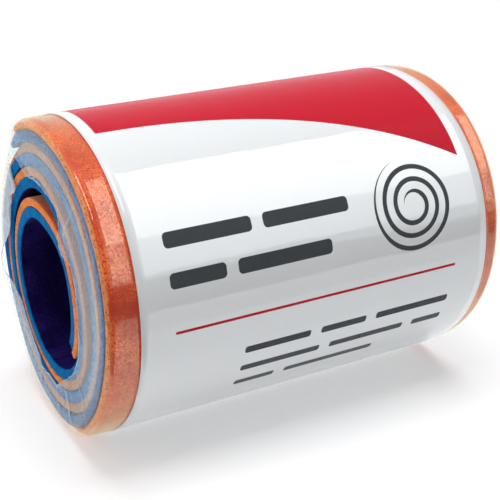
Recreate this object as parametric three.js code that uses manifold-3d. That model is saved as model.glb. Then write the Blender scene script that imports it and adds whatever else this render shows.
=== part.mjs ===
// Aluminium foam splint, rolled up for storage.
// Two sheets of foam are bonded over a soft aluminium strip, and the strip is wound into a roll.
// A paper band goes round the roll, and clear film is shrunk over everything.
// Millimetres, +Z up. The roll lies with its axis along X, its torn-open end at -X and its front at -Y.
// The origin is on the floor, under the middle of the roll.

import * as THREE from 'three';
import { mergeVertices } from 'three/addons/utils/BufferGeometryUtils.js';
import Module from 'manifold-3d';

const wasm = await Module();
wasm.setup();

// Driving dimensions of the strip, through its thickness from the inner (blue) face outwards
const STRIP_LENGTH = 609.6;
const STRIP_WIDTH = 108;
const BLUE_THICK = 2.8;
const BOND_GAP = 0.2;
const ORANGE_THICK = 2.2;
const BLUE_SHORTFALL = 1; // the blue sheet stops this far before the orange one at the inner end

// The aluminium lies in a shallow pocket between the sheets, clear of their edges
const CORE_THICK = 0.4;
const CORE_CLEAR = 0.2;
const CORE_INSET = 4;

// The wrapping: each layer and the gap under it, counted outwards from the foam
const LABEL_GAP = 0.3;
const LABEL_THICK = 0.2;
const FILM_GAP = 0.2;
const FILM_THICK = 0.25;
const LABEL_NEAR_X = -46.8;
const LABEL_FAR_X = 48.9;
const FILM_CORNER = 2.6;
const FOAM_CORNER = 2;
const FOAM_CORNER_SLACK = 0.1;
const FAR_OPENING_RADIUS = 24;

// How far the soft underside is pressed flat where the roll lies
const REST_PRESS = 0.7;

// Radius of the strip's inner face at eight places in each turn, from the inner end to past the outer end
const TURNS = [
  { lowFront: 15.4, front: 13.6, highFront: 13.3, top: 13.8,
    highBack: 17.3, back: 21.1, lowBack: 23.1, bottom: 22.6 },
  { lowFront: 21.1, front: 19.2, highFront: 19.3, top: 22.3,
    highBack: 23.9, back: 26.8, lowBack: 28.8, bottom: 28.3 },
  { lowFront: 26.9, front: 27.4, highFront: 28.8, top: 28.5,
    highBack: 29.5, back: 32.5, lowBack: 34.5, bottom: 34.7 },
  { lowFront: 32.6, front: 33.5, highFront: 35.0, top: 34.3,
    highBack: 35.1, back: 38.0 },
];
const FIRST_CLOCK = 135; // lowFront, in degrees clockwise from the top as seen from the near end
const PLACE_STEP = 45;

// The torn edge of the film on the near end, a row for each fold, tongue and tear
const NEAR_OPENING = [
  { clock: 0, radius: 25.0 },
  { clock: 30, radius: 24.3 },
  { clock: 37, radius: 20.8 },
  { clock: 45, radius: 18.3 },
  { clock: 53, radius: 19.8 },
  { clock: 60, radius: 21.6 },
  { clock: 90, radius: 21.4 },
  { clock: 120, radius: 22.2 },
  { clock: 150, radius: 24.1 },
  { clock: 168, radius: 26.2 },
  { clock: 176, radius: 27.4 },
  { clock: 197, radius: 28.7 },
  { clock: 202, radius: 27.2 },
  { clock: 224, radius: 26.3 },
  { clock: 238, radius: 27.4 },
  { clock: 246, radius: 30.2 },
  { clock: 254, radius: 36.0 },
  { clock: 262, radius: 33.0 },
  { clock: 272, radius: 29.5 },
  { clock: 284, radius: 27.0 },
  { clock: 298, radius: 26.3 },
  { clock: 307, radius: 28.3 },
  { clock: 312, radius: 25.3 },
  { clock: 316, radius: 29.5 },
  { clock: 329, radius: 30.8 },
  { clock: 343, radius: 25.1 },
];

// Fineness of the faceted solids
const WIND_STEP = 9;
const WRAP_DIRECTIONS = 72;
const SHORTEST_SIDE = 0.8;
const CORNER_STEPS = 3;

// Depths through the strip, from its inner face
const ORANGE_START = BLUE_THICK + BOND_GAP;
const STRIP_THICK = ORANGE_START + ORANGE_THICK;
const MIDDLE = STRIP_THICK / 2;
const BOND = BLUE_THICK + BOND_GAP / 2;
const CORE_START = BOND - CORE_THICK / 2;
const CORE_END = BOND + CORE_THICK / 2;

// Places on the wound strip, in the plane across the roll (x is the part's Y, y is its Z)
const radii = TURNS.flatMap((turn) => Object.values(turn));
const LAST_WOUND = (radii.length - 1) * PLACE_STEP;
const innerFace = new THREE.SplineCurve(
  radii.map((radius, place) => new THREE.Vector2(place * PLACE_STEP, radius)),
);

function clockPoint(clock, radius) {
  const angle = THREE.MathUtils.degToRad(clock);
  return new THREE.Vector2(-radius * Math.sin(angle), radius * Math.cos(angle));
}

function stripPoint(wound, depth) {
  const radius = innerFace.getPoint(wound / LAST_WOUND).y + depth;
  return clockPoint(FIRST_CLOCK - wound, radius);
}

// Wound angle at which the middle of the strip has run this far from its inner end
function woundAfter(length) {
  let run = 0;
  for (let wound = 0; wound < LAST_WOUND; wound += WIND_STEP) {
    const step = stripPoint(wound, MIDDLE).distanceTo(stripPoint(wound + WIND_STEP, MIDDLE));
    if (run + step >= length) {
      return wound + (WIND_STEP * (length - run)) / step;
    }
    run += step;
  }
  return LAST_WOUND;
}

function woundStops(start, end) {
  const stops = [start];
  const first = Math.floor(start / WIND_STEP) + 1;
  for (let step = first; step * WIND_STEP < end; step += 1) {
    stops.push(step * WIND_STEP);
  }
  stops.push(end);
  return stops;
}

// The lowest reach of the foam, pressed flat
const wholeStrip = woundStops(0, woundAfter(STRIP_LENGTH));
const lowest = Math.min(...wholeStrip.map((wound) => stripPoint(wound, STRIP_THICK).y));
const FLAT_LEVEL = lowest + REST_PRESS;

function pressed(point, level) {
  return new THREE.Vector2(point.x, Math.max(point.y, level));
}

// One layer of the strip between two depths, from one length along it to another
function layerShape(inner, outer, start, end) {
  const stops = woundStops(woundAfter(start), woundAfter(end));
  const outside = stops.map((wound) => pressed(stripPoint(wound, outer), FLAT_LEVEL));
  const inside = stops.map((wound) => stripPoint(wound, inner));
  return new THREE.Shape([...outside, ...inside.reverse()]);
}

// The outline that a tight wrap takes this far outside the foam: the furthest seat in every direction
function wrapOutline(offset) {
  const seats = wholeStrip.map((wound) => stripPoint(wound, ORANGE_START));
  const outline = [];
  for (let turn = 0; turn < WRAP_DIRECTIONS; turn += 1) {
    const direction = clockPoint((turn * 360) / WRAP_DIRECTIONS, 1);
    const seat = seats.reduce((best, next) => (next.dot(direction) > best.dot(direction) ? next : best));
    const reach = direction.clone().multiplyScalar(ORANGE_THICK + offset);
    const point = pressed(seat.clone().add(reach), FLAT_LEVEL - offset);
    if (turn === 0 || point.distanceTo(outline.at(-1)) > SHORTEST_SIDE) {
      outline.push(point);
    }
  }
  if (outline.at(-1).distanceTo(outline[0]) < SHORTEST_SIDE) {
    outline.pop();
  }
  return outline;
}

// Solids along the roll
function turnedAlongX(geometry, startX) {
  return geometry.rotateX(Math.PI / 2).rotateZ(Math.PI / 2).translate(startX, 0, 0);
}

function alongRoll(shape, startX, endX) {
  const geometry = new THREE.ExtrudeGeometry(shape, { depth: endX - startX, bevelEnabled: false });
  return turnedAlongX(geometry, startX);
}

// A wrap's whole inside or outside, with its two ends rounded over
function roundedBody(offset, endX, corner) {
  const geometry = new THREE.ExtrudeGeometry(new THREE.Shape(wrapOutline(offset)), {
    depth: 2 * (endX - corner),
    bevelThickness: corner,
    bevelSize: corner,
    bevelOffset: -corner,
    bevelSegments: CORNER_STEPS,
  });
  return turnedAlongX(geometry, corner - endX);
}

// Cutting and joining
function toSolid(geometry) {
  const bare = geometry.clone();
  bare.deleteAttribute('normal');
  bare.deleteAttribute('uv');
  const merged = mergeVertices(bare);
  const mesh = new wasm.Mesh({
    numProp: 3,
    vertProperties: merged.attributes.position.array,
    triVerts: new Uint32Array(merged.index.array),
  });
  return new wasm.Manifold(mesh);
}

function toGeometry(solid) {
  const mesh = solid.getMesh();
  const geometry = new THREE.BufferGeometry();
  geometry.setAttribute('position', new THREE.BufferAttribute(mesh.vertProperties, 3));
  geometry.setIndex(new THREE.BufferAttribute(mesh.triVerts, 1));
  geometry.computeVertexNormals();
  return geometry;
}

// The pieces
const HALF_WIDTH = STRIP_WIDTH / 2;
const CORE_HALF_WIDTH = HALF_WIDTH - CORE_INSET;

function corePocket() {
  const start = CORE_INSET - CORE_CLEAR;
  const shape = layerShape(CORE_START - CORE_CLEAR, CORE_END + CORE_CLEAR, start, STRIP_LENGTH - start);
  return toSolid(alongRoll(shape, -CORE_HALF_WIDTH - CORE_CLEAR, CORE_HALF_WIDTH + CORE_CLEAR));
}

function blueFoam() {
  const sheet = alongRoll(layerShape(0, BLUE_THICK, BLUE_SHORTFALL, STRIP_LENGTH), -HALF_WIDTH, HALF_WIDTH);
  return toGeometry(toSolid(sheet).subtract(corePocket()));
}

// The outermost edge of the orange sheet is rounded over by the pull of the film
function orangeFoam() {
  const sheet = alongRoll(layerShape(ORANGE_START, STRIP_THICK, 0, STRIP_LENGTH), -HALF_WIDTH, HALF_WIDTH);
  const rounded = toSolid(roundedBody(FOAM_CORNER_SLACK, HALF_WIDTH, FOAM_CORNER));
  return toGeometry(toSolid(sheet).intersect(rounded).subtract(corePocket()));
}

function aluminiumCore() {
  const shape = layerShape(CORE_START, CORE_END, CORE_INSET, STRIP_LENGTH - CORE_INSET);
  return alongRoll(shape, -CORE_HALF_WIDTH, CORE_HALF_WIDTH);
}

function labelBand() {
  const band = new THREE.Shape(wrapOutline(LABEL_GAP + LABEL_THICK));
  band.holes.push(new THREE.Path(wrapOutline(LABEL_GAP)));
  return alongRoll(band, LABEL_NEAR_X, LABEL_FAR_X);
}

const FILM_INSIDE = LABEL_GAP + LABEL_THICK + FILM_GAP;
const FILM_OUTSIDE = FILM_INSIDE + FILM_THICK;
const FILM_INNER_END = HALF_WIDTH + FILM_GAP;
const FILM_OUTER_END = FILM_INNER_END + FILM_THICK;

function shrinkFilm() {
  const outside = toSolid(roundedBody(FILM_OUTSIDE, FILM_OUTER_END, FILM_CORNER));
  const inside = toSolid(roundedBody(FILM_INSIDE, FILM_INNER_END, FILM_CORNER - FILM_THICK));
  const torn = new THREE.Shape(NEAR_OPENING.map((row) => clockPoint(row.clock, row.radius)));
  const plain = new THREE.Shape().absarc(0, 0, FAR_OPENING_RADIUS, 0, 2 * Math.PI);
  const nearCut = toSolid(alongRoll(torn, -FILM_OUTER_END - FILM_GAP, -HALF_WIDTH));
  const farCut = toSolid(alongRoll(plain, HALF_WIDTH, FILM_OUTER_END + FILM_GAP));
  return toGeometry(outside.subtract(inside).subtract(nearCut).subtract(farCut));
}

// The roll, lying on the floor with the origin under its middle
const FINISHES = {
  foam_blue: { color: 0x0b62ab, roughness: 0.8, metalness: 0 },
  foam_orange: { color: 0xe77d40, roughness: 0.75, metalness: 0 },
  aluminium_core: { color: 0xb8babd, roughness: 0.4, metalness: 1 },
  label_band: { color: 0xf3f1f0, roughness: 0.35, metalness: 0 },
  shrink_film: { color: 0xf2f5f7, roughness: 0.08, metalness: 0, transparent: true, opacity: 0.25 },
};

function piece(name, geometry) {
  const mesh = new THREE.Mesh(geometry, new THREE.MeshStandardMaterial(FINISHES[name]));
  mesh.name = name;
  return mesh;
}

const outline = new THREE.Box2().setFromPoints(wrapOutline(FILM_OUTSIDE));
const roll = new THREE.Group();
roll.add(piece('foam_blue', blueFoam()));
roll.add(piece('foam_orange', orangeFoam()));
roll.add(piece('aluminium_core', aluminiumCore()));
roll.add(piece('label_band', labelBand()));
roll.add(piece('shrink_film', shrinkFilm()));
roll.position.set(0, -(outline.min.x + outline.max.x) / 2, -outline.min.y);

export default roll;
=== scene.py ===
# %% [markdown]
# A foam splint is a soft metal strip between two sheets of foam. It is sold rolled up, with a paper
# band round it and clear film shrunk over everything. Here the film on one end has been torn open.
# The imported model holds the sizes. This lesson rebuilds its soft pieces as fine meshes in the same
# place, gives each of them a finish, and sets up a small studio with a camera to photograph them.

# %% Load the imported roll
import math

import bpy
import numpy as np
from mathutils import Matrix, Vector


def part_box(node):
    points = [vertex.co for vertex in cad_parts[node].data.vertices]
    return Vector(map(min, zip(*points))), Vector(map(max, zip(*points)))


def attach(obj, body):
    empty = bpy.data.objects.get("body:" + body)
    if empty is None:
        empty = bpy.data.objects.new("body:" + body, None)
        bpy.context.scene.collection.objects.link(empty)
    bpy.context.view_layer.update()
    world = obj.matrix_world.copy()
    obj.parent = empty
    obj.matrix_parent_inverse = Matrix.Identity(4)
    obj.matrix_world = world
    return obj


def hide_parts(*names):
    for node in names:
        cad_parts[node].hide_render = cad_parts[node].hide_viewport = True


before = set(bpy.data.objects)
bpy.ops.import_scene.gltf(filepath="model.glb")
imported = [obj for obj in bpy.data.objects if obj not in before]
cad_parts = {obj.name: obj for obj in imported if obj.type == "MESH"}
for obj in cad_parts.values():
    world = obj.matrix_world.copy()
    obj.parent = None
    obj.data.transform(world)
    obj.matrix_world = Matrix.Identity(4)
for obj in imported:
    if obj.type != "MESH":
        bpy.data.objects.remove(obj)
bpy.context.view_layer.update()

MM = 0.001  # Blender works in metres, and the sizes below are in millimetres

# %% [markdown]
# The camera comes first, because every later choice is judged through it. It stands in front of the
# roll and to the left, a little above it, so that the torn end and the label both show. It could be
# placed by eye, but two angles and a distance are easier to read and to change one at a time. A long
# lens close to 80 mm keeps the two ends of the roll nearly the same size.

# %% Camera
LENS = 80.71
CAMERA_TURN = -29.17  # degrees round the roll, from straight in front
CAMERA_RISE = 23.29  # degrees up from the floor
CAMERA_DISTANCE = 296.15
CAMERA_TARGET = Vector((1.09, -1.36, 37.73))
NEAREST_SEEN = 10

camera_turn = math.radians(CAMERA_TURN)
camera_rise = math.radians(CAMERA_RISE)
sideways = math.sin(camera_turn) * math.cos(camera_rise)
forwards = math.cos(camera_turn) * math.cos(camera_rise)
to_camera = Vector((sideways, -forwards, math.sin(camera_rise)))
camera_data = bpy.data.cameras.new("studio_camera")
camera_data.lens = LENS
camera_data.clip_start = NEAREST_SEEN * MM
camera = bpy.data.objects.new("studio_camera", camera_data)
camera.location = (CAMERA_TARGET + to_camera * CAMERA_DISTANCE) * MM
camera.rotation_euler = (-to_camera).to_track_quat("-Z", "Y").to_euler()
bpy.context.scene.collection.objects.link(camera)
bpy.context.scene.camera = camera
print("camera at, mm:", [round(distance / MM) for distance in camera.location])

# %% [markdown]
# The strip is not a neat spiral: the inner turns are squeezed and leave gaps. A formula could not hold
# that, so the winding is a short table of radii, eight to a turn, with a smooth curve through them.
# Clock angles run from the top towards the front, as seen from the torn end, and the strip is wound
# against the clock.

# %% The strip and its winding
STRIP_LENGTH = 609.6 + 2.9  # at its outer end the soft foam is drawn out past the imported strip
STRIP_WIDTH = 108
STRIP_THICK = 5.2
ORANGE_START = 3.0  # depth of the orange sheet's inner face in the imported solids
REST_PRESS = 0.7  # the underside is pressed flat by this much
FIRST_CLOCK = 135
PLACE_STEP = 45

PLACES = ("low_front", "front", "high_front", "top", "high_back", "back", "low_back", "bottom")
TURNS = (  # radius of the inner face at these places, a row for each turn
    (15.4, 13.6, 13.3, 13.8, 17.3, 21.1, 23.1, 22.6),
    (21.1, 19.2, 19.3, 22.3, 23.9, 26.8, 28.8, 28.3),
    (26.9, 27.4, 28.8, 28.5, 29.5, 32.5, 34.5, 34.7),
    (32.6, 33.5, 35.0, 34.3, 35.1, 38.0),
)
radii = np.array([radius for turn in TURNS for radius in turn])
print("places in the winding:", len(radii), "of them in a whole turn:", len(PLACES))


# %% Points on the winding
def smooth_table(table, place):
    """Values of a table at fractional places, on a smooth curve through its rows."""
    last = len(table) - 1
    place = np.clip(place, 0, last)
    row = np.minimum(place.astype(int), last - 1)
    part = place - row
    before, here, after, beyond = (table[np.clip(row + step, 0, last)] for step in (-1, 0, 1, 2))
    lean_here = (after - before) / 2
    lean_after = (beyond - here) / 2
    swing = 2 * (here - after) + lean_here + lean_after
    bow = 3 * (after - here) - 2 * lean_here - lean_after
    return ((swing * part + bow) * part + lean_here) * part + here


def clock_point(clock, radius):
    """Across the roll: (towards the back, up) from the winding's centre, in mm."""
    angle = np.radians(clock)
    return np.stack([-radius * np.sin(angle), radius * np.cos(angle)], axis=-1)


def strip_point(wound, depth):
    """A point of the strip after some degrees of winding, this deep from its inner face."""
    radius = smooth_table(radii, np.asarray(wound) / PLACE_STEP) + depth
    return clock_point(FIRST_CLOCK - wound, radius)


print("the strip starts at, mm:", strip_point(np.zeros(1), 0)[0].round(1))

# %% Lengths along the winding
WINDING_STEP = 0.25  # degrees


def run_along(points):
    """Distance from the first point to each of them, along the line through them."""
    return np.concatenate([[0], np.cumsum(np.linalg.norm(np.diff(points, axis=0), axis=1))])


fine_wound = np.arange(0, (len(radii) - 1) * PLACE_STEP, WINDING_STEP)
fine_length = run_along(strip_point(fine_wound, STRIP_THICK / 2))


def wound_at(length):
    return np.interp(length, fine_length, fine_wound)


outer_end = wound_at(STRIP_LENGTH)
print("turns in the roll:", round(outer_end / 360, 2))

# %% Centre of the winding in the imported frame
whole_strip = fine_wound[fine_wound <= outer_end]
outside = strip_point(whole_strip, STRIP_THICK)
flat_level = outside[:, 1].min() + REST_PRESS
orange_low, orange_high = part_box("foam_orange")
centre_back = (orange_low.y + orange_high.y) / 2 / MM - (outside[:, 0].min() + outside[:, 0].max()) / 2
centre_up = orange_low.z / MM - flat_level
print("winding centre, mm:", round(centre_back, 2), round(centre_up, 2))


def in_frame(along, across):
    """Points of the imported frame, in mm, from places along the roll and points across it."""
    along = np.broadcast_to(along, across.shape[:-1])
    return np.stack([along, across[..., 0] + centre_back, across[..., 1] + centre_up], axis=-1)


# %% [markdown]
# Most pieces here are a grid of points: rows along one direction and columns along the other. Numpy
# works out all points at once, and a few small helpers turn them into Blender meshes. Modifiers could
# bend a flat strip into a roll too, but then its thickness and its edges would be hard to control.

# %% Helpers for meshes made from grids
def grid_faces(rows, columns):
    """Four-sided faces of a grid whose columns close on themselves."""
    row = np.arange(rows - 1)[:, None]
    column = np.arange(columns)[None, :]
    beside = (column + 1) % columns
    corners = [row * columns + column, row * columns + beside]
    corners += [(row + 1) * columns + beside, (row + 1) * columns + column]
    return np.stack(np.broadcast_arrays(*corners), axis=-1).reshape(-1, 4)


def new_piece(name, points, faces):
    mesh = bpy.data.meshes.new(name)
    mesh.from_pydata((points.reshape(-1, 3) * MM).tolist(), [], faces)
    piece = bpy.data.objects.new(name, mesh)
    bpy.context.scene.collection.objects.link(piece)
    mesh.shade_smooth()
    print(name, "faces:", len(faces))
    return piece


def add_values(piece, name, values):
    """Keeps one number for each point of a piece, for its finish to read."""
    attribute = piece.data.attributes.new(name, "FLOAT", "POINT")
    attribute.data.foreach_set("value", np.asarray(values, np.float32).ravel())


print("faces in a 3 by 8 grid:", len(grid_faces(3, 8)))


# %% Helpers for smooth steps and tables
def ease(value, start, end):
    """0 before start, 1 after end, and a smooth rise between them."""
    share = np.clip((np.asarray(value, float) - start) / (end - start), 0, 1)
    return share * share * (3 - 2 * share)


def read_table(table, places):
    """Values from rows of (place, value), on straight lines between the rows."""
    return np.interp(places, *np.array(table, float).T)


print("a smooth step after a quarter:", ease(0.25, 0, 1).round(3))

# %% [markdown]
# Foam has no thread or weave, but its edges tell what it is. The sheets are cut with a blade, so their
# edges are square with a small round, and they wander a little. Each sheet is one closed loop of
# points swept along the winding: up one face, round an edge, down the other face and round the other
# edge. A Bevel modifier could round a box, but it would give every edge the same round.

# %% One loop round a sheet
FACE_COLUMNS = 25
EDGE_ROUND = 0.35
ROUND_STEPS = 6


def sheet_loop(inner, outer, outer_round):
    """Places (along the roll, depth) round a sheet, for stops with these depths and outer rounds."""
    half = STRIP_WIDTH / 2
    inner, outer, outer_round = (value[:, None] for value in (inner, outer, outer_round))
    across = np.linspace(-1, 1, FACE_COLUMNS)[None, :]
    bend = np.radians(np.linspace(0, 90, ROUND_STEPS + 1))[None, :]
    rise = 1 - np.cos(bend)
    rest = 1 - np.sin(bend)
    inner_face = ((half - EDGE_ROUND) * across + 0 * inner, inner + 0 * across)
    inner_bend = (half - EDGE_ROUND * rest + 0 * inner, inner + EDGE_ROUND * rise)
    outer_bend = (half - outer_round * rise, outer - outer_round * rest)
    outer_face = ((half - outer_round) * across, outer + 0 * across)
    along = [inner_face[0], inner_bend[0][:, 1:], outer_bend[0][:, :-1], outer_face[0][:, ::-1]]
    along += [-outer_bend[0][:, -2::-1], -inner_bend[0][:, :0:-1]]
    depth = [inner_face[1], inner_bend[1][:, 1:], outer_bend[1][:, :-1], outer_face[1]]
    depth += [outer_bend[1][:, -2::-1], inner_bend[1][:, :0:-1]]
    return np.concatenate(along, axis=1), np.concatenate(depth, axis=1)


INNER_FACE = slice(0, FACE_COLUMNS)
OUTER_FACE = slice(FACE_COLUMNS + 2 * ROUND_STEPS, 2 * FACE_COLUMNS + 2 * ROUND_STEPS)
LOOP = 2 * FACE_COLUMNS + 4 * ROUND_STEPS
print("points in a loop:", LOOP)

# %% Which faces of a loop are cut foam
first_edge = FACE_COLUMNS - 1
second_edge = OUTER_FACE.stop - 1
cut_side = np.zeros(LOOP, bool)
cut_side[first_edge : first_edge + ROUND_STEPS + 1 + ROUND_STEPS // 2] = True
cut_side[second_edge + ROUND_STEPS // 2 : LOOP] = True
print("cut faces in a loop:", int(cut_side.sum()), "of", LOOP)

# %% Edges that wander
NEAR_BULGE = (  # clock angle, mm that the outermost turn stands out of the torn end
    (0, 0), (60, 0), (90, 0.5), (112, 0.9), (135, 0.85), (165, 0), (360, 0),
)
BULGED_PART = 240  # degrees of winding, back from the outer end
EDGE_INSET = 0.2
LONG_WANDER = 0.13
SHORT_WANDER = 0.06


def near_bulge(clock):
    return read_table(NEAR_BULGE, np.asarray(clock) % 360)


def wander(lengths, seed):
    """How far a cut edge lies inside the straight line, in mm, at lengths along the strip."""
    slow = LONG_WANDER * np.sin(lengths / 23 + seed)
    return EDGE_INSET + slow + SHORT_WANDER * np.sin(lengths / 5.1 + 2 * seed)


print("the outermost turn stands out by, mm:", near_bulge(np.arange(360)).max())


# %% Sweep a loop along the winding
def wound_sheet(name, lengths, along, depth, seed, near_recess):
    wound = wound_at(lengths)
    inset = wander(lengths, seed) + near_recess
    inset -= np.where(wound > outer_end - BULGED_PART, near_bulge(FIRST_CLOCK - wound), 0)
    near_edge = (1 - inset / (STRIP_WIDTH / 2))[:, None]
    far_edge = (1 - wander(lengths, seed + 1) / (STRIP_WIDTH / 2))[:, None]
    along = np.where(along < 0, along * near_edge, along * far_edge)
    across = strip_point(wound[:, None], depth)
    across[..., 1] = np.maximum(across[..., 1], flat_level - STRIP_THICK + depth)
    faces = grid_faces(len(lengths), LOOP)[:, ::-1]
    last_loop = (len(lengths) - 1) * LOOP
    ends = [list(range(LOOP)), list(range(last_loop, last_loop + LOOP))[::-1]]
    piece = new_piece(name, in_frame(along, across), faces.tolist() + ends)
    cut = np.concatenate([np.tile(cut_side, len(lengths) - 1), [True, True]])
    piece.data.materials.append(None)
    piece.data.materials.append(None)
    piece.data.polygons.foreach_set("material_index", cut.astype(np.int32))
    return piece


FINE_STOP = 0.45
STOP = 0.9


def stops(start, fine_to, end):
    """Lengths along the strip that get a loop, closer together up to some length."""
    return np.concatenate([np.arange(start, fine_to, FINE_STOP), np.arange(fine_to, end, STOP), [end]])


print("loops in 12 mm, fine and plain:", len(stops(0, 12, 12)), len(stops(0, 0, 12)))

# %% [markdown]
# The blue sheet is on the inside of the roll. Where it lines the hollow its skin is pushed together,
# so fine creases run along the roll there. A bump in the finish could fake them, but light that grazes
# the hollow would give it away. So they are real dents in the mesh, each a narrow groove with its own
# place, length and wobble, drawn from a seeded list of random numbers.

# %% Creases in the hollow
CREASES = 34
CREASED_LENGTH = 112
SWELL = 0.1
rng = np.random.default_rng(12)


def crease_depth(lengths, along):
    depth = np.zeros(np.broadcast_shapes(lengths.shape, along.shape))
    for _ in range(CREASES):
        place = rng.uniform(8, CREASED_LENGTH)
        middle = rng.uniform(-50, 50)
        reach = rng.uniform(12, 40)
        groove = rng.uniform(0.12, 0.4)
        width = rng.uniform(0.5, 0.9)
        wobble = rng.uniform(0.3, 1.2) * np.sin(along / rng.uniform(6, 14) + rng.uniform(0, 6))
        line = np.exp(-(((lengths - place - wobble) / width) ** 2))
        depth += groove * line * np.exp(-(((along - middle) / reach) ** 2))
    swell = SWELL * np.sin(lengths / 2.7 + along / 17) * np.sin(lengths / 9.1 - along / 29)
    return depth + swell * ease(lengths, 6, 14) * (1 - ease(lengths, 100, CREASED_LENGTH))


print("creases:", CREASES, "in the first, mm:", CREASED_LENGTH)

# %% Room for the metal strip
POCKET_DEPTH = 0.4  # on each side of the bond
POCKET_START = 2.4  # from the ends of the strip
POCKET_FULL = 3.4
POCKET_MARGIN = 2  # from the edges of the strip


def pocket_depth(lengths, along):
    """How far the bonded face of a sheet gives way to the metal."""
    to_end = np.minimum(lengths, STRIP_LENGTH - lengths)
    deep = ease(to_end, POCKET_START, POCKET_FULL)[:, None] * POCKET_DEPTH
    return deep * (np.abs(along) < STRIP_WIDTH / 2 - POCKET_MARGIN)


print("pocket, mm wide:", STRIP_WIDTH - 2 * POCKET_MARGIN)

# %% The blue sheet
BLUE_START = 0.2
BLUE_OUTER = 2.88
BLUE_TAIL = 5  # the film presses a thin tail of blue foam against the turn below
TAIL_PRESS = 1.3
BLUE_PINCH = 0.35  # the blade has pressed the inner end a little
PINCH_REACH = 2.5
FINE_TO = 115

blue_end = STRIP_LENGTH + BLUE_TAIL
blue_stops = stops(BLUE_START, FINE_TO, blue_end)
blue_inner = (1 - ease(blue_stops, 0, PINCH_REACH)) * BLUE_PINCH
blue_outer = BLUE_OUTER - ease(blue_stops, STRIP_LENGTH - 1, blue_end) * TAIL_PRESS
blue_along, blue_depth = sheet_loop(blue_inner, blue_outer, np.full(len(blue_stops), EDGE_ROUND))
blue_depth[:, OUTER_FACE] -= pocket_depth(blue_stops, blue_along[:, OUTER_FACE])
blue_depth[:, INNER_FACE] += crease_depth(blue_stops[:, None], blue_along[:, INNER_FACE])
blue_sheet = wound_sheet("blue_foam_sheet", blue_stops, blue_along, blue_depth, seed=1.3, near_recess=0)

# %% [markdown]
# The orange sheet is on the outside. Its outermost edge is pulled round by the film, so there the round
# grows until it takes nearly the whole thickness, and for a stretch the film has pushed the edge in.
# Inside the roll the edge stays square. One modifier would treat all of it alike, so the round and the
# recess are numbers for each stop along the strip.

# %% The orange sheet
BOND = 0.04  # the two sheets are bonded, so only a hair lies between them
ROUNDED_OVER = 2.0
ROUND_GROWS = 8  # mm before and after the start of the last turn
ORANGE_PINCH = 0.3
ORANGE_FINE_TO = 12
ORANGE_RECESS = (  # clock angle, mm that the outermost edge is pushed in at the torn end
    (0, 0), (150, 0), (172, 1.2), (250, 1.2), (275, 0.6), (320, 0.2), (336, 0), (360, 0),
)

orange_stops = stops(0, ORANGE_FINE_TO, STRIP_LENGTH)
orange_wound = wound_at(orange_stops)
last_turn = np.interp(outer_end - 360, fine_wound, fine_length)
growth = ease(orange_stops, last_turn - ROUND_GROWS, last_turn + ROUND_GROWS)
orange_rounds = EDGE_ROUND + (ROUNDED_OVER - EDGE_ROUND) * growth
orange_inner = np.full(len(orange_stops), BLUE_OUTER + BOND)
orange_outer = STRIP_THICK - (1 - ease(orange_stops, 0, PINCH_REACH)) * ORANGE_PINCH
orange_along, orange_depth = sheet_loop(orange_inner, orange_outer, orange_rounds)
orange_depth[:, INNER_FACE] += pocket_depth(orange_stops, orange_along[:, INNER_FACE])
recess = read_table(ORANGE_RECESS, (FIRST_CLOCK - orange_wound) % 360)
recess = np.where(orange_wound > outer_end - 360, recess, 0)
orange_sheet = wound_sheet("orange_foam_sheet", orange_stops, orange_along, orange_depth, 4.1, recess)
print("the last turn starts at, mm:", round(last_turn))

# %% [markdown]
# Paper and film are wrapped tight, so their outline is what a rubber band round the roll would take:
# in every direction the furthest point of the foam, and a straight line across the step where the
# strip ends. A Shrinkwrap modifier would sink into every dip. So the outline is worked out once and
# cut into even steps, which also lets print be placed on it in mm.

# %% Outline of a tight wrap
WRAP_COLUMNS = 400
DIRECTIONS = 720

clocks_round = np.arange(DIRECTIONS) * 360 / DIRECTIONS
directions = clock_point(clocks_round, np.ones(DIRECTIONS))
seats = strip_point(whole_strip, ORANGE_START)
furthest = np.argmax(seats @ directions.T, axis=0)
wrap = seats[furthest] + directions * (STRIP_THICK - ORANGE_START)
wrap[:, 1] = np.maximum(wrap[:, 1], flat_level)

closed = np.vstack([wrap, wrap[:1]])
run = run_along(closed)
wrap_round = run[-1]
even = np.linspace(0, wrap_round, WRAP_COLUMNS, endpoint=False)
outline = np.stack([np.interp(even, run, closed[:, axis]) for axis in (0, 1)], axis=-1)
print("round the wrap, mm:", round(wrap_round, 1))

# %% Which way the wrap faces, and where its top is
heading = np.roll(outline, -2, axis=0) - np.roll(outline, 2, axis=0)
heading /= np.linalg.norm(heading, axis=1, keepdims=True)
outward = np.stack([heading[:, 1], -heading[:, 0]], axis=-1)
clock = np.degrees(np.arctan2(-outline[:, 0], outline[:, 1])) % 360
top_column = int(np.argmin(np.minimum(clock, 360 - clock)))
arc = (even - even[top_column] + wrap_round / 2) % wrap_round - wrap_round / 2
print("column at the top:", top_column, "of", WRAP_COLUMNS)


# %% A closed skin on both sides of a grid
def thin_shell(name, middle, thick):
    """A sheet of this thickness about a grid whose columns go round the roll."""
    beside = np.roll(middle, -1, axis=1) - np.roll(middle, 1, axis=1)
    ahead = np.gradient(middle, axis=0)
    normal = np.cross(beside, ahead)
    normal /= np.linalg.norm(normal, axis=-1, keepdims=True)
    centre = middle.mean(axis=(0, 1))
    if np.sum(normal * (middle - centre)) < 0:
        normal = -normal
    rows, columns = middle.shape[:2]
    skins = np.concatenate([middle + normal * thick / 2, middle[::-1] - normal[::-1] * thick / 2])
    faces = grid_faces(2 * rows, columns)
    first = np.arange(columns)
    second = (first + 1) % columns
    last = (2 * rows - 1) * columns
    rim = np.stack([last + first, last + second, second, first], axis=-1)
    return new_piece(name, skins, np.concatenate([faces, rim]).tolist())


def on_both_skins(values):
    """Values on a grid, repeated for the two skins of its shell."""
    return np.concatenate([values, values[::-1]])


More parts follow.
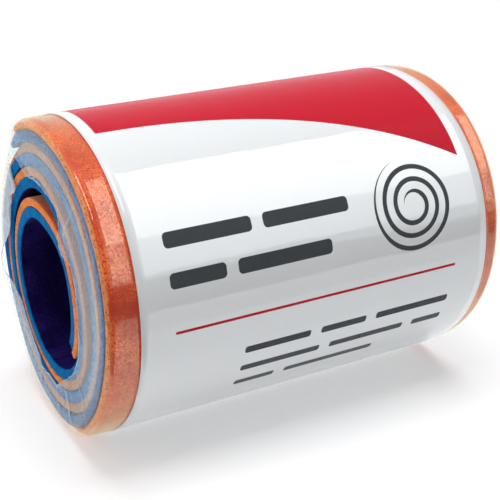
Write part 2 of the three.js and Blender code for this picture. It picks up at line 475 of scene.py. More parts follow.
print("one step round the wrap, mm:", round(wrap_round / WRAP_COLUMNS, 2))

# %% [markdown]
# The label is a plain paper band. It could carry a picture, but a print that is drawn in place stays
# sharp at any size: each point keeps its place along the roll and round it, in mm, and the finish
# draws coloured areas from those two numbers.

# %% The paper band
LABEL_NEAR = -46.8
LABEL_FAR = 48.9
LABEL_THICK = 0.2
LABEL_LIFT = 0.4  # middle of the paper above the foam
LABEL_ROWS = 40
FAR_SKEW = ((-125, 0), (0, -1.4), (45, -0.1), (87, 0.6), (125, 0))  # mm round from the top, mm along

label_far_edge = LABEL_FAR + read_table(FAR_SKEW, arc)
label_along = LABEL_NEAR + np.linspace(0, 1, LABEL_ROWS)[:, None] * (label_far_edge - LABEL_NEAR)[None]
label_across = (outline + outward * LABEL_LIFT)[None, :, :]
label_middle = in_frame(label_along, np.broadcast_to(label_across, (LABEL_ROWS, WRAP_COLUMNS, 2)))
label_band = thin_shell("paper_label_band", label_middle, LABEL_THICK)
add_values(label_band, "along_mm", on_both_skins(label_middle[..., 0]))
add_values(label_band, "arc_mm", np.tile(arc, (2 * LABEL_ROWS, 1)))

# %% [markdown]
# The film is the piece that sells the picture. It clings to the paper, drops a little onto the foam
# beyond each edge of the label, turns over the corner of the roll and ends in a flange. On the torn
# end the flange has tongues, tears and curled lips, kept in tables with a row for each of them. A cloth
# simulation could crumple a sheet, but it would not put the tears where they belong.

# %% The torn edge
TORN_EDGE = (  # clock angle, radius
    (0, 25.5), (27, 25.2), (31, 24.0), (36, 20.4), (41, 18.9), (49, 18.9), (53, 20.2), (58, 21.7),
    (66, 21.2), (90, 21.2), (112, 21.8), (130, 22.8), (144, 23.4), (160, 24.2), (167, 25.6), (174, 26.8),
    (186, 26.4), (190, 27.0), (199, 28.2), (202, 26.4), (210, 25.8), (224, 24.5), (236, 25.0), (243, 27.5),
    (248, 29.6), (252, 34.0), (254.5, 38.0), (257, 37.5), (264, 33.6), (270, 30.4), (275, 28.0),
    (281, 26.4), (289, 25.6), (300, 25.8), (306, 26.6), (311, 25.2), (314, 25.4), (316, 31.0),
    (319, 33.0), (328, 32.0), (331, 30.8), (335, 29.2), (340, 27.0), (344, 25.5), (360, 25.5),
)
FAR_OPENING = 24
FAR_RAGGED = 2.5  # the far edge is this many times as ragged as the torn one

ragged = 0.12 * np.sin(clock * 0.37) + 0.1 * np.sin(clock * 0.83 + 1) + 0.07 * np.sin(clock * 1.9 + 2)
near_edge_radius = read_table(TORN_EDGE, clock) + ragged
far_edge_radius = FAR_OPENING + FAR_RAGGED * ragged
print("torn edge, least mm from the centre:", near_edge_radius.min().round(1))

# %% Folds and curled lips of the torn end
FOLDS = (  # clock angle, width in degrees, height
    (40, 1.0, 0.25), (69, 0.8, 0.15), (137, 1.0, 0.25), (161, 1.3, 0.3), (176, 1.2, 0.15), (198, 1.4, 0.15),
    (224, 1.2, 0.15), (240, 1.4, 0.2), (264, 1.8, 0.4), (281, 2.0, 0.5), (297, 1.6, 0.4), (312, 1.5, 0.5),
)
LIPS = (  # clock angle, width in degrees, turn of the curl
    (352, 16, 100), (45, 9, 60), (95, 14, 25), (178, 20, 45), (226, 12, 70), (258, 10, 60), (300, 14, 75),
)
LEAST_CURL = 12


def humps(rows):
    """Smooth humps round the roll, one for each row of (clock angle, width, height)."""
    total = 0
    for place, wide, high in rows:
        gap = (clock - place + 180) % 360 - 180
        total = total + high * np.exp(-((gap / wide) ** 2))
    return total


fold_height = humps(FOLDS)
lip_turn = LEAST_CURL + humps(LIPS)
print("folds:", len(FOLDS), "curled lips:", len(LIPS), "sharpest curl:", round(lip_turn.max()))

# %% The film's path over the roll
FILM_END = 54.33
FILM_THICK = 0.1
FILM_CORNER = 2.6
FILM_ON_FOAM = 0.34
FILM_ON_PAPER = 0.64
STEP_WIDTH = 0.6  # over this the film comes down from paper to foam
EDGE_ROW = 0.3  # rows lie this close near the ends of the roll
MIDDLE_ROWS = 24

corner_start = FILM_END - FILM_CORNER
near_rows = np.arange(-corner_start, LABEL_NEAR + 1, EDGE_ROW)
middle_rows = np.linspace(LABEL_NEAR + 2, LABEL_FAR - 4, MIDDLE_ROWS)
far_rows = np.arange(LABEL_FAR - 2.6, corner_start, EDGE_ROW)
side_rows = np.concatenate([near_rows, middle_rows, far_rows, [corner_start]])
over_paper = ease(side_rows, LABEL_NEAR - STEP_WIDTH, LABEL_NEAR)[:, None]
over_paper = over_paper * (1 - ease(side_rows[:, None] - label_far_edge[None], 0, STEP_WIDTH))
side_lift = FILM_ON_FOAM + (FILM_ON_PAPER - FILM_ON_FOAM) * over_paper
print("rows along the side:", len(side_rows))

# %% Ripples in the film
RIPPLE = 0.035
RIPPLE_REACH = 7
BULGE_FADE = 3
rippled = np.sin(arc / 3.1 + 1) * np.sin(arc / 11 + 2) + 0.6 * np.sin(arc / 1.9)


def ripple_height(rows):
    """Small waves where the film is drawn round the ends of the roll."""
    near = 1 - ease(rows + corner_start, 0, RIPPLE_REACH)
    far = 1 - ease(corner_start - rows, 0, RIPPLE_REACH)
    return RIPPLE * (near + far)[:, None] * rippled[None, :]


side_across = outline[None] + outward[None] * (side_lift + ripple_height(side_rows))[..., None]
bulged = 1 - ease(side_rows + corner_start, 0, BULGE_FADE)
side_along = side_rows[:, None] - near_bulge(clock)[None] * bulged[:, None]
side_points = in_frame(side_along, side_across)
print("side of the film:", side_points.shape[0], "rows of", side_points.shape[1])

# %% The film's corners
CORNER_ROWS = 8


def corner_points(end):
    """The film turning over one end of the roll, -1 or 1, from the side to the flange."""
    bend = np.radians(np.linspace(0, 90, CORNER_ROWS + 1))[1:, None]
    ripples = ripple_height(side_rows)[0][None] * np.cos(bend)
    lift = FILM_ON_FOAM - FILM_CORNER * (1 - np.cos(bend)) + ripples
    along = end * (corner_start + FILM_CORNER * np.sin(bend)) - (end < 0) * near_bulge(clock)[None]
    return in_frame(along, outline[None] + outward[None] * lift[..., None])


near_corner = corner_points(-1)
far_corner = corner_points(1)
print("rows in a corner:", len(near_corner))

# %% The film's flanges
FLANGE_ROWS = 20
LIP_LENGTH = 1.5
LEAST_FLANGE = 0.6
LEAST_BEND = 0.05  # keeps the bow of a nearly flat lip finite


def flange_points(end, edge_radius, fold, lip):
    """The flat of the film on one end, from the corner to its free edge."""
    start = outline + outward * (FILM_ON_FOAM - FILM_CORNER)
    edge = clock_point(clock, np.minimum(edge_radius, np.linalg.norm(start, axis=1) - LEAST_FLANGE))
    width = np.linalg.norm(start - edge, axis=1)
    share = np.linspace(0, 1, FLANGE_ROWS + 1)[1:, None] ** 0.8
    to_edge = width[None] * (1 - share)
    curl = np.radians(lip)[None] * np.clip(1 - to_edge / LIP_LENGTH, 0, 1)
    bow = LIP_LENGTH / np.maximum(np.radians(lip), LEAST_BEND)[None]
    flat = np.maximum(to_edge, LIP_LENGTH)
    out = fold[None] * np.sin(np.pi * np.clip(share * 1.15, 0, 1)) * 0.6 + bow * (1 - np.cos(curl))
    left = flat - bow * np.sin(curl)
    inward = (start - edge) / width[:, None]
    across = edge[None] + inward[None] * left[..., None]
    if end < 0:
        out = out + near_bulge(clock)[None] * (1 - ease(width[None] * share, 1, 7))
    return in_frame(end * (FILM_END + out), across)


FAR_CURL = 20
no_fold = np.zeros(WRAP_COLUMNS)
near_flange = flange_points(-1, near_edge_radius, fold_height, lip_turn)
far_flange = flange_points(1, far_edge_radius, no_fold, no_fold + FAR_CURL)
film_parts = [near_flange[::-1], near_corner[::-1], side_points, far_corner, far_flange]
film_middle = np.concatenate(film_parts)
shrink_film = thin_shell("clear_shrink_film", film_middle, FILM_THICK)
print("film from end to end, mm:", np.ptp(film_middle[..., 0]).round(2))

# %% How milky the film is, and painted highlights on its lips and folds
MILK = (  # clock angle, cloudy share of one face of the film on the torn end
    (0, 0.025), (60, 0.022), (130, 0.022), (138, 0.012), (158, 0.012), (166, 0.03), (185, 0.035),
    (200, 0.05), (240, 0.07), (252, 0.08), (258, 0.1), (264, 0.35), (275, 0.5), (300, 0.5), (312, 0.4),
    (317, 0.06), (330, 0.04), (345, 0.025), (360, 0.025),
)
FAR_MILK = 0.025
# Lips and folds of the torn edge get extra white: a painted highlight where the film turns, added to the
# milk.
LIP_HIGHLIGHT = 0.08
CURL_HIGHLIGHT = 0.25  # painted highlight, more on a lip that is curled by a right angle
FOLD_HIGHLIGHT = 0.25

flange_ramp = np.linspace(0, 1, FLANGE_ROWS)[:, None]
lip_highlight = LIP_HIGHLIGHT + CURL_HIGHLIGHT * lip_turn[None] / 90
flange_milk_and_highlight = read_table(MILK, clock)[None] * ease(flange_ramp, 0, 0.1)
# The table gives the film's haze; the next two lines add painted highlights on the lips, then along the
# folds.
flange_milk_and_highlight = flange_milk_and_highlight + lip_highlight * ease(flange_ramp, 0.93, 1)
flange_milk_and_highlight = flange_milk_and_highlight + FOLD_HIGHLIGHT * fold_height[None] * ease(flange_ramp, 0.1, 0.3)
film_milk_and_highlight = np.zeros(film_middle.shape[:2])
film_milk_and_highlight[:FLANGE_ROWS] = flange_milk_and_highlight[::-1]
film_milk_and_highlight[-FLANGE_ROWS:] = FAR_MILK
# This number carries the film's haze and the painted highlights on lips and folds.
add_values(shrink_film, "milk_and_highlight", on_both_skins(film_milk_and_highlight))
print("milkiest film:", round(float(film_milk_and_highlight.max()), 2))

# %% Where the film lies on paper
first_side_row = FLANGE_ROWS + CORNER_ROWS
film_on_paper = np.zeros(film_milk_and_highlight.shape)
film_on_paper[first_side_row : first_side_row + len(side_rows)] = over_paper
add_values(shrink_film, "on_paper", on_both_skins(film_on_paper))
print("rows that touch paper:", int((film_on_paper.max(axis=1) > 0).sum()))

# %% [markdown]
# Now the finishes. Each is a small graph of nodes. They could be wired by hand in the shader editor, but
# in a script a finish reads from top to bottom and can be made twice in two colours. One helper adds a
# node and fills its inputs, either with a value or with a wire from another node.

# %% Helpers for finishes
def start_finish(name):
    finish = bpy.data.materials.new(name)
    finish.use_nodes = True
    finish.node_tree.nodes.clear()
    return finish, finish.node_tree


def add_node(tree, kind, inputs=None, **settings):
    """A new node. Inputs are given by name or number, as a value or as another node's output."""
    made = tree.nodes.new(kind)
    for setting, value in settings.items():
        setattr(made, setting, value)
    for name, value in (inputs or {}).items():
        if isinstance(value, bpy.types.NodeSocket):
            tree.links.new(value, made.inputs[name])
        else:
            made.inputs[name].default_value = value
    return made


def maths(tree, operation, first, second=0.0):
    return add_node(tree, "ShaderNodeMath", {0: first, 1: second}, operation=operation).outputs[0]


def rescale(tree, value, start, end, low, high):
    inputs = {"Value": value, "From Min": start, "From Max": end, "To Min": low, "To Max": high}
    return add_node(tree, "ShaderNodeMapRange", inputs).outputs[0]


def mix_colours(tree, share, first, second):
    mixed = add_node(tree, "ShaderNodeMix", {0: share, 6: first, 7: second}, data_type="RGBA")
    return mixed.outputs[2]


def mix_shaders(tree, share, first, second):
    return add_node(tree, "ShaderNodeMixShader", {0: share, 1: first, 2: second}).outputs[0]


def surface(tree, inputs):
    return add_node(tree, "ShaderNodeBsdfPrincipled", inputs).outputs[0]


def show(tree, shader):
    add_node(tree, "ShaderNodeOutputMaterial", {"Surface": shader})
    print("nodes in a finish:", len(tree.nodes))


print("finishes so far:", len(bpy.data.materials))


# %% Helpers for patterns and colours
def object_place(tree):
    return add_node(tree, "ShaderNodeTexCoord").outputs["Object"]


def kept_number(tree, name):
    """The number that each point of a piece keeps under a name."""
    return add_node(tree, "ShaderNodeAttribute", attribute_name=name).outputs["Fac"]


def noise(tree, place, size, detail):
    """Soft random patches about this many mm across."""
    inputs = {"Vector": place, "Scale": 1 / (size * MM), "Detail": detail}
    return add_node(tree, "ShaderNodeTexNoise", inputs).outputs[0]


def dents(tree, height, strength, deep, under=None):
    """A bumpy normal, this many mm deep, over a plain or a bumpy surface."""
    inputs = {"Height": height, "Strength": strength, "Distance": deep * MM}
    if under is not None:
        inputs["Normal"] = under
    return add_node(tree, "ShaderNodeBump", inputs).outputs[0]


def linear(red, green, blue):
    """A colour as a screen shows it, 0 to 255, in the linear light that nodes work in."""
    parts = []
    for part in (red / 255, green / 255, blue / 255):
        parts.append(part / 12.92 if part <= 0.04045 else ((part + 0.055) / 1.055) ** 2.4)
    return (*parts, 1.0)


print("a screen grey of 128 in linear light:", round(linear(128, 128, 128)[0], 3))

# %% [markdown]
# Closed-cell foam looks different on its two kinds of surface. A cut edge is bright and open, with cells
# about half a millimetre across, and some of them dark. The skin is deeper in colour, closed and a
# little shiny. One finish could blend the two, but the cut is a sharp line, so each sheet carries two
# finishes and the mesh says which face is cut.

# %% Cut foam
CELL = 0.5
OPEN_CELLS = 0.5  # cells whose random number is above this show as dark pores
PORE_SHARE = 0.9
CUT_CLOUDS = 3


def cut_foam(name, pale, deep, pore):
    finish, tree = start_finish(name)
    place = object_place(tree)
    clouds = noise(tree, place, CUT_CLOUDS, 3.0)
    cells = add_node(tree, "ShaderNodeTexVoronoi", {"Vector": place, "Scale": 1 / (CELL * MM)})
    from_middle = cells.outputs["Distance"]
    picked = add_node(tree, "ShaderNodeSeparateColor", {"Color": cells.outputs["Color"]}).outputs[0]
    opened = maths(tree, "GREATER_THAN", picked, OPEN_CELLS)
    pores = maths(tree, "MULTIPLY", opened, rescale(tree, from_middle, 0.18, 0.5, 1.0, 0.0))
    body = mix_colours(tree, rescale(tree, clouds, 0.35, 0.65, 0.0, 1.0), deep, pale)
    foam = {
        "Base Color": mix_colours(tree, maths(tree, "MULTIPLY", pores, PORE_SHARE), body, pore),
        "Normal": dents(tree, from_middle, 0.5, 0.12),
        "Roughness": 0.85,
        "Specular IOR Level": 0.02,
    }
    show(tree, surface(tree, foam))
    return finish


blue_cut = cut_foam("blue_cut_foam", linear(0, 116, 182), linear(0, 98, 160), linear(0, 50, 96))
orange_cut = cut_foam("orange_cut_foam", linear(242, 150, 88), linear(228, 128, 66), linear(84, 34, 20))

# %% [markdown]
# On the skin the cells are closed, so it has only a fine grain and slow clouds of colour. The orange
# skin also has a faint bloom that shows at a low angle, like the bloom on a peach. A paler colour near
# the top would be a simpler way, but it would be wrong as soon as the roll is turned. Principled's
# sheen follows the angle by itself.

# %% Foam skin
SKIN_GRAIN = 0.45
SKIN_CLOUDS = 9
BLOOM_ROUGHNESS = 0.52
BLOOM = (1.0, 0.82, 0.46, 1.0)


def skin_foam(name, pale, deep, shine, bloom):
    finish, tree = start_finish(name)
    place = object_place(tree)
    grain = noise(tree, place, SKIN_GRAIN, 2.0)
    tone = rescale(tree, noise(tree, place, SKIN_CLOUDS, 2.0), 0.3, 0.7, 0.0, 1.0)
    speckled = maths(tree, "MULTIPLY", tone, rescale(tree, grain, 0.3, 0.7, -0.4, 2.2))
    foam = {
        "Base Color": mix_colours(tree, speckled, deep, pale),
        "Roughness": rescale(tree, grain, 0.3, 0.7, 0.4, 0.56),
        "Normal": dents(tree, grain, 0.6, 0.06),
        "Specular IOR Level": shine,
        "Sheen Weight": bloom,
        "Sheen Roughness": BLOOM_ROUGHNESS,
        "Sheen Tint": BLOOM,
    }
    show(tree, surface(tree, foam))
    return finish


blue_skin = skin_foam("blue_foam_skin", linear(40, 28, 100), linear(22, 13, 62), 0.03, 0.0)
orange_skin = skin_foam("orange_foam_skin", linear(255, 112, 46), linear(206, 48, 18), 0.1, 1.0)

for foam_sheet, skin, cut in ((blue_sheet, blue_skin, blue_cut), (orange_sheet, orange_skin, orange_cut)):
    foam_sheet.data.materials[0] = skin
    foam_sheet.data.materials[1] = cut

# %% [markdown]
# The metal strip lies sealed between the sheets. It could be remeshed like the foam, but it is hard and
# plain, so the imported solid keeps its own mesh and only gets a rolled-metal finish: fine lines along
# the strip and a soft shine.

# %% Rolled aluminium
LINE_WIDTH = 0.2

aluminium, tree = start_finish("rolled_aluminium")
drawn_out = {"Vector": object_place(tree), "Scale": (1 / (LINE_WIDTH * MM), 40, 40)}
stretched = add_node(tree, "ShaderNodeMapping", drawn_out).outputs[0]
lines = add_node(tree, "ShaderNodeTexNoise", {"Vector": stretched, "Scale": 1.0, "Detail": 4.0}).outputs[0]
metal = {
    "Base Color": mix_colours(tree, lines, linear(190, 192, 196), linear(222, 223, 226)),
    "Roughness": rescale(tree, lines, 0.3, 0.7, 0.28, 0.42),
    "Metallic": 1.0,
}
show(tree, surface(tree, metal))
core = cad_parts["aluminium_core"]
core.data.materials.clear()
core.data.materials.append(aluminium)
core_low, core_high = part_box("aluminium_core")
print("metal strip, mm wide:", round((core_high.x - core_low.x) / MM))

# %% [markdown]
# The band is coated white paper with a red panel over the top, whose lower edge sweeps down to the right,
# and a thin red rule across the middle. The rest is a plain layout of a spiral sign and grey bars. It
# could be unwrapped and painted, but then the print would have a fixed sharpness. So every area is a
# test on the two numbers that each point of the label keeps.

# %% Tests for printed areas
BAR_CORNER = 0.3  # corner radius, as a share of a bar's shorter side


def vectors(tree, operation, first, second=(0, 0, 0)):
    return add_node(tree, "ShaderNodeVectorMath", {0: first, 1: second}, operation=operation)


def rounded_bar(tree, spot, left, right, level, tall):
    """1 inside a bar with rounded corners, 0 outside it."""
    corner = min(tall, right - left) * BAR_CORNER
    middle = ((left + right) / 2, level, 0)
    straight_half = ((right - left) / 2 - corner, tall / 2 - corner, 0)
    step = vectors(tree, "SUBTRACT", spot, middle).outputs[0]
    step = vectors(tree, "ABSOLUTE", step).outputs[0]
    step = vectors(tree, "SUBTRACT", step, straight_half).outputs[0]
    step = vectors(tree, "MAXIMUM", step).outputs[0]
    reach = vectors(tree, "LENGTH", step).outputs["Value"]
    return maths(tree, "LESS_THAN", reach, corner)


def spiral_line(tree, along, round_place, middle, pitch, thick, largest):
    """1 on a spiral about a middle, 0 off it."""
    right = maths(tree, "SUBTRACT", along, middle[0])
    down = maths(tree, "SUBTRACT", round_place, middle[1])
    angle = maths(tree, "DIVIDE", maths(tree, "ARCTAN2", down, right), 2 * math.pi)
    squares = maths(tree, "ADD", maths(tree, "MULTIPLY", right, right), maths(tree, "MULTIPLY", down, down))
    radius = maths(tree, "SQRT", squares)
    turns = maths(tree, "SUBTRACT", maths(tree, "DIVIDE", radius, pitch), angle)
    line = maths(tree, "LESS_THAN", maths(tree, "FRACT", turns), thick / pitch)
    ring = maths(tree, "LESS_THAN", radius, largest)
    ring = maths(tree, "MULTIPLY", ring, maths(tree, "GREATER_THAN", radius, pitch * 0.9))
    return maths(tree, "MULTIPLY", line, ring)


print("corner of a bar 2 mm tall, mm:", 2 * BAR_CORNER)

# %% Sizes of the print
PANEL_LEFT = -43.8
PANEL_RIGHT = 43.9
PANEL_BACK = -31
PANEL_LEVEL = 10.55  # lower edge at its level part, in mm down from the top of the roll
PANEL_TIP = 35.5
SWEEP_START = -38
SWEEP_POWER = 1.97
RULE = (-38.5, 39.4, 62.6, 0.7)
SPIRAL_MIDDLE = (27.5, 45)
SPIRAL_PITCH = 3.1
SPIRAL_THICK = 1.2
SPIRAL_RADIUS = 11.5
BARS = (  # left, right, level, tall
    (-39, -17, 41.5, 3.6), (-14, 9, 41.5, 3.6),
    (-39, -25, 50.5, 3.6), (-22, 3, 50.5, 3.6),
    (-20, -2, 72.5, 2.1), (1, 14, 72.5, 2.1), (17, 39, 72.5, 2.1),
    (-20, 2, 79, 2.1), (5, 27, 79, 2.1), (30, 39, 79, 2.1),
    (-20, -9, 85.5, 2.1), (-6, 20, 85.5, 2.1),
)
print("printed bars:", len(BARS))

# %% Printed areas
printed_paper, tree = start_finish("printed_label_paper")
along_mm = kept_number(tree, "along_mm")
arc_mm = kept_number(tree, "arc_mm")
spot = add_node(tree, "ShaderNodeCombineXYZ", {0: along_mm, 1: arc_mm}).outputs[0]

past_start = maths(tree, "MAXIMUM", maths(tree, "SUBTRACT", along_mm, SWEEP_START), 0.0)
sweep = (PANEL_TIP - PANEL_LEVEL) / (PANEL_RIGHT - SWEEP_START) ** SWEEP_POWER
drop = maths(tree, "MULTIPLY", maths(tree, "POWER", past_start, SWEEP_POWER), sweep)
panel = maths(tree, "LESS_THAN", arc_mm, maths(tree, "ADD", drop, PANEL_LEVEL))
for limit, test, value in (
    (PANEL_LEFT, "GREATER_THAN", along_mm),
    (PANEL_RIGHT, "LESS_THAN", along_mm),
    (PANEL_BACK, "GREATER_THAN", arc_mm),
):
    panel = maths(tree, "MULTIPLY", panel, maths(tree, test, value, limit))

red_ink = maths(tree, "MAXIMUM", panel, rounded_bar(tree, spot, *RULE))
grey_ink = spiral_line(tree, along_mm, arc_mm, SPIRAL_MIDDLE, SPIRAL_PITCH, SPIRAL_THICK, SPIRAL_RADIUS)
for bar in BARS:
    grey_ink = maths(tree, "MAXIMUM", grey_ink, rounded_bar(tree, spot, *bar))
inked = maths(tree, "MAXIMUM", red_ink, grey_ink)
print("nodes that place the print:", len(tree.nodes))

# %% [markdown]
# Coated paper under tight film mirrors the lights sharply, and gentle waves in it bend their edges. Ink
# is nearly matt. A single surface with a changing shine would do, but two surfaces mixed by the print
# keep the values of paper and ink apart.

# %% Paper and ink
FIBRE = 0.5
WAVE = 9
COAT_ROUGHNESS = 0.05
COAT_SHINE = 0.9

place = object_place(tree)
fibres = noise(tree, place, FIBRE, 5.0)
paper = mix_colours(tree, fibres, linear(238, 238, 239), linear(245, 244, 244))
red = mix_colours(tree, fibres, linear(199, 30, 48), linear(206, 36, 54))
grey = mix_colours(tree, fibres, linear(66, 69, 72), linear(76, 79, 82))
waved = dents(tree, noise(tree, place, WAVE, 1.0), 1.0, 0.12)
paper_relief = dents(tree, fibres, 0.15, 0.02, waved)
coated = {
    "Base Color": paper,
    "Normal": paper_relief,
    "Roughness": COAT_ROUGHNESS,
    "Specular IOR Level": COAT_SHINE,
}
ink = {
    "Base Color": mix_colours(tree, grey_ink, red, grey),
    "Normal": paper_relief,
    "Roughness": 0.7,
    "Specular IOR Level": 0.05,
}
show(tree, mix_shaders(tree, inked, surface(tree, coated), surface(tree, ink)))
label_band.data.materials.append(printed_paper)

# %% [markdown]
# Shrunk film lets most light straight through and mirrors a little of it, more at a low angle. That is a
# Transparent shader mixed with a Glossy one by the angle. Glass with refraction would bend what lies
# behind, which such thin film does not do. On paper the film mirrors only at a low angle, because the
# coated paper under it does the rest. On the ends it is bluish and cloudy, so a white shader is mixed
# in there by the milk number. The same white paints highlights on the lips and folds of the torn edge.

# %% How much the film mirrors
STRAIGHT_MIRROR = 0.04  # share of light that one face mirrors straight back
LOW_MIRROR = 0.7  # and at the lowest angle
MIRROR_ON_PAPER = 0.2
FILM_CREASE = 7
FILM_GRAIN = 0.6

clear_film, tree = start_finish("clear_film")
milk_and_highlight = kept_number(tree, "milk_and_highlight")
on_paper = kept_number(tree, "on_paper")
place = object_place(tree)
film_relief = dents(tree, noise(tree, place, FILM_CREASE, 2.0), 0.25, 0.05)
facing = add_node(tree, "ShaderNodeLayerWeight", {"Blend": 0.5, "Normal": film_relief}).outputs["Facing"]
slanted = maths(tree, "POWER", facing, 5.0)
broken = rescale(tree, noise(tree, place, FILM_GRAIN, 2.0), 0.35, 0.65, 0.55, 1.45)
on_foam = maths(tree, "MULTIPLY", rescale(tree, slanted, 0.0, 1.0, STRAIGHT_MIRROR, LOW_MIRROR), broken)
mirrored = rescale(tree, on_paper, 0.0, 1.0, on_foam, maths(tree, "MULTIPLY", slanted, MIRROR_ON_PAPER))
print("nodes that share out the light:", len(tree.nodes))

# %% Clear and cloudy film
CLEAR = (0.99, 0.998, 1.0, 1.0)
CLEAR_ON_ENDS = (0.91, 0.985, 1.0, 1.0)
WARM_SHEEN = (1.0, 0.88, 0.68, 1.0)  # light that runs between film and orange foam is warm
CLOUD = linear(240, 245, 250)
STREAK = 2.2
SHINES_THROUGH = 0.35

on_end = rescale(tree, milk_and_highlight, 0.0, 0.01, 0.0, 1.0)
tint = mix_colours(tree, on_end, CLEAR, CLEAR_ON_ENDS)
sheen = mix_colours(tree, maths(tree, "MAXIMUM", on_end, on_paper), WARM_SHEEN, tint)
roughness = rescale(tree, milk_and_highlight, 0.0, 0.025, 0.1, 0.3)
mirror = {"Color": sheen, "Normal": film_relief, "Roughness": roughness}
gloss = add_node(tree, "ShaderNodeBsdfGlossy", mirror).outputs[0]
through = add_node(tree, "ShaderNodeBsdfTransparent", {"Color": tint}).outputs[0]
sheer = mix_shaders(tree, mirrored, through, gloss)
white = add_node(tree, "ShaderNodeBsdfDiffuse", {"Color": CLOUD}).outputs[0]
glow = add_node(tree, "ShaderNodeBsdfTranslucent", {"Color": CLOUD}).outputs[0]
cloudy = mix_shaders(tree, SHINES_THROUGH, white, glow)
# The white shader shows the film's haze and also the painted highlights on the lips and folds.
patchy = maths(tree, "MULTIPLY", milk_and_highlight, rescale(tree, noise(tree, place, STREAK, 4.0), 0.3, 0.7, 0.7, 1.3))
show(tree, mix_shaders(tree, patchy, sheer, cloudy))
shrink_film.data.materials.append(clear_film)

# %% [markdown]
# The floor is in layers a hair apart. The camera sees one pale floor, and sheets just below it brighten
# the roll from below or are mirrored in the film. One floor could do all of it, but then a paler
# reflection would need a paler floor. Each layer is seen by some kinds of ray only, which Blender calls
# ray visibility. The dark card in front is there only to be mirrored, as the dark band along the
# front of the roll.

# %% A flat sheet
MOTTLE = 1000 / 12
MOTTLE_DIM = 0.985


def flat_sheet(name, corners, colour, glow):
    piece = new_piece(name, np.array(corners, float), [[0, 1, 2, 3]])
    finish, tree = start_finish(name + "_finish")
    dimmed = tuple(part * MOTTLE_DIM for part in colour[:3]) + (1.0,)
    card = {
        "Base Color": mix_colours(tree, noise(tree, object_place(tree), MOTTLE, 3.0), colour, dimmed),
        "Roughness": 0.9,
        "Specular IOR Level": 0.1,
        "Emission Color": (1.0, 1.0, 1.0, 1.0),
        "Emission Strength": glow,
    }
    show(tree, surface(tree, card))
    piece.data.materials.append(finish)
    return piece


MIRRORED = ("glossy",)
MATT = ("diffuse",)


def seen_only_by(item, rays):
    item.visible_camera = "camera" in rays
    item.visible_diffuse = "diffuse" in rays
    item.visible_glossy = "glossy" in rays


print("patches of tone on a sheet, mm:", round(MOTTLE))

# %% Floor in layers, and the dark card
ALL_ROUND = (-4000, -4000, 4000, 4000)
FLOORS = (  # name, (left, front, right, back), level, grey, glow, rays
    ("studio_floor", ALL_ROUND, 0, 203, 0.45, ("camera",)),
    ("front_sheet", (-220, -115, 220, -10), -0.1, 226, 0.0, MATT),
    ("left_back_sheet", (-500, -60, -58, 500), -0.2, 231, 0.0, MIRRORED),
    ("left_front_sheet", (-500, -500, -58, -60), -0.2, 60, 0.0, MIRRORED),
    ("lower_floor", ALL_ROUND, -0.4, 203, 0.45, MATT + MIRRORED),
)
for name, (left, front, right, back), level, floor_grey, glow, rays in FLOORS:
    corners = [(left, front, level), (right, front, level), (right, back, level), (left, back, level)]
    floor = flat_sheet(name, corners, linear(floor_grey, floor_grey, floor_grey + 1), glow)
    seen_only_by(floor, rays)
    floor.visible_shadow = False

CARD_FRONT = -190
CARD_SHAPE = ((-160, 0), (420, 0), (420, 20), (-160, 90))  # along the roll, up
card_corners = [(along, CARD_FRONT, up) for along, up in CARD_SHAPE]
dark_card = flat_sheet("dark_card", card_corners, linear(8, 8, 9), 0.0)
seen_only_by(dark_card, MIRRORED)
dark_card.visible_shadow = False
dark_card.visible_transmission = False

# %% [markdown]
# Shiny paper and film show the shapes of their lights, so the lights are split by what they are for. The
# overhead and the left light brighten matt surfaces. A tall softbox on the front right, its weaker
# skirt, and a small light for the corner of the roll are there to be mirrored. One big light could
# do both, but then no highlight could be moved without changing the whole picture.

# %% Soft lights
def soft_light(name, corner, along_edge, up_edge, brightness, rays):
    """A rectangular light from a corner and two edges, in mm, and its brightness against white."""
    corner, along_edge, up_edge = (Vector(value) * MM for value in (corner, along_edge, up_edge))
    data = bpy.data.lights.new(name, "AREA")
    data.shape = "RECTANGLE"
    data.size = along_edge.length
    data.size_y = up_edge.length
    data.energy = brightness * math.pi * data.size * data.size_y
    light = bpy.data.objects.new(name, data)
    right = along_edge.normalized()
    up = up_edge.normalized()
    behind = right.cross(up)
    turned = Matrix((right, up, behind)).transposed().to_4x4()
    light.matrix_world = Matrix.Translation(corner + (along_edge + up_edge) / 2) @ turned
    seen_only_by(light, rays)
    bpy.context.scene.collection.objects.link(light)
    print(name, "watts:", round(data.energy, 2))


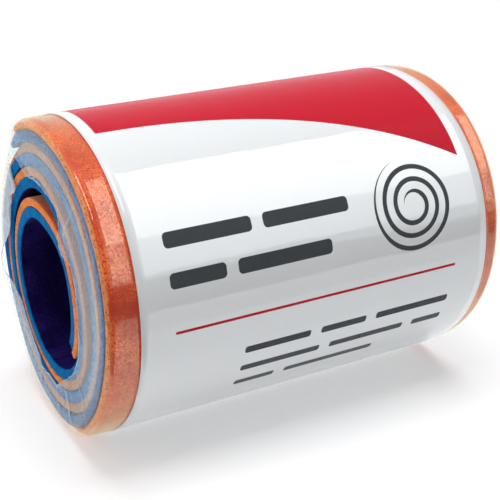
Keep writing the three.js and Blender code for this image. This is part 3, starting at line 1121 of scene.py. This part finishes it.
soft_light("softbox", (90, -521, 409), (510, 0, 0), (0, 515, 316), 3.3, MIRRORED)
soft_light("softbox_skirt", (90, -624, 148), (510, 0, 0), (0, 103, 261), 1.6, MIRRORED)
soft_light("overhead_light", (-720, -950, 2500), (1660, 0, 0), (0, 1660, 0), 7.5, MATT)
soft_light("left_light", (-650, 350, 250), (0, -500, 0), (300, 0, 400), 2.0, MATT)
soft_light("corner_light", (-550, -345, 600), (140, 0, 0), (180, 430, 0), 5.0, MIRRORED)

# %% [markdown]
# The surroundings show only in shiny surfaces. They are pale, brighter near the horizon than overhead,
# and dark at the front left, where the corner of the band would mirror them. A photograph of a studio
# is the usual way, but three ramps over the direction do the same and need no file.

# %% Dim surroundings
HORIZON = 1.35
OVERHEAD = 0.6
FRONT_LEFT = 0.15

world = bpy.data.worlds.new("studio_world")
bpy.context.scene.world = world
world.use_nodes = True
sky = world.node_tree
looking = add_node(sky, "ShaderNodeTexCoord").outputs["Generated"]
way = add_node(sky, "ShaderNodeSeparateXYZ", {0: looking})
height = rescale(sky, way.outputs["Z"], 0.0, 0.9, HORIZON, OVERHEAD)
leftward = rescale(sky, way.outputs["X"], -0.3, 0.05, 1.0, 0.0)
forward = rescale(sky, way.outputs["Y"], -0.3, 0.1, 1.0, 0.0)
shade = rescale(sky, maths(sky, "MULTIPLY", leftward, forward), 0.0, 1.0, 1.0, FRONT_LEFT)
backdrop = sky.nodes["Background"]
backdrop.inputs["Color"].default_value = linear(240, 244, 250)
sky.links.new(maths(sky, "MULTIPLY", height, shade), backdrop.inputs["Strength"])
world.cycles_visibility.diffuse = False
bpy.context.scene.view_settings.view_transform = "Standard"
print("the world is dimmer at the front left by a factor of", FRONT_LEFT)

# %% [markdown]
# Last, every piece is tied to the imported part: it rides on the part's one body and stands in for the
# imported solid in whose place it lies, which is hidden.

# %% Tie the pieces to the imported part
for piece, node, slot in (
    (blue_sheet, "foam_blue", "foam_blue"),
    (orange_sheet, "foam_orange", "foam_orange"),
    (label_band, "label_band", "label_paper"),
    (shrink_film, "shrink_film", "clear_film"),
):
    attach(piece, "root")
    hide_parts(node)
    print(piece.name, "stands for", node)
